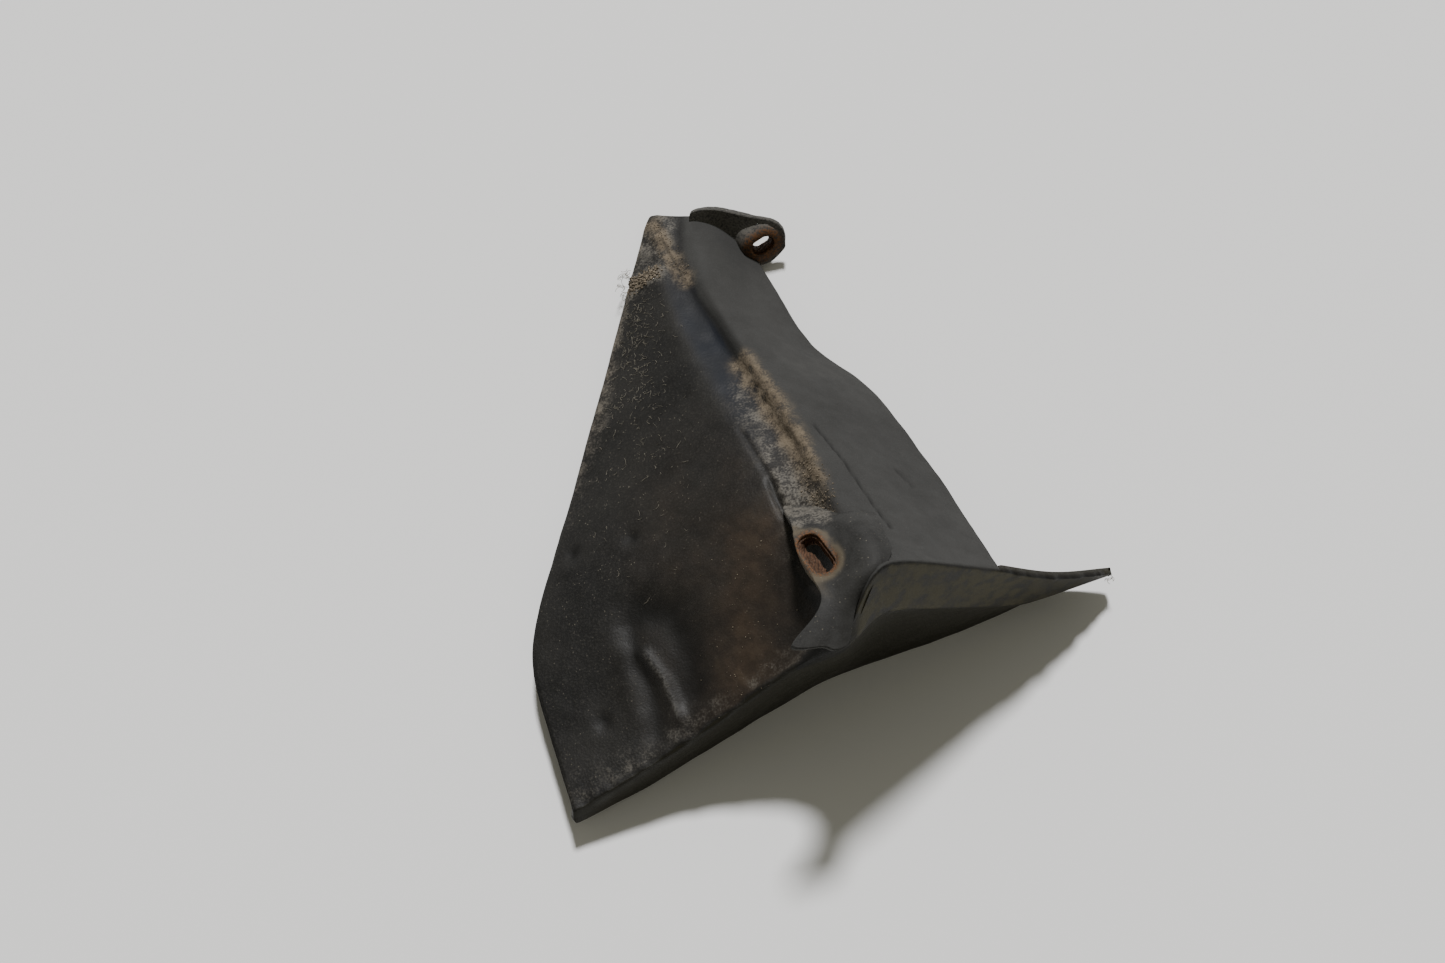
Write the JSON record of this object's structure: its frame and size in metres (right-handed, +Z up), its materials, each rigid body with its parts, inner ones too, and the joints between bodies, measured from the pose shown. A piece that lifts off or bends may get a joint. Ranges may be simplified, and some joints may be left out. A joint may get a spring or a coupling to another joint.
{
  "type": "mud flap",
  "caption": "Folded moulded rubber mud flap with a sloping panel either side of a gutter, a front wall with a pointed tail, and two steel-lined fixing slots on small ears",
  "frame": {"origin": "on the ground under the middle of the flap's bounding box", "axes": "+Z up out of the outer face as the flap lies; +Y runs from the front wall along the flap to its narrow back end; +X runs from the low flat side edge to the tail"},
  "size_m": [0.2324, 0.2754, 0.098],
  "materials": {
    "rubber": "matt black moulded rubber, dusty and scuffed, with dried mud in its folds",
    "rusted_steel": "steel with a flaking coat of brown and orange rust"
  },
  "bodies": {
    "root": {"flap_body": "rubber", "lower_eyelet": "rusted_steel", "lower_washer": "rusted_steel", "upper_eyelet": "rusted_steel", "upper_washer": "rusted_steel"}
  },
  "joints": []
}
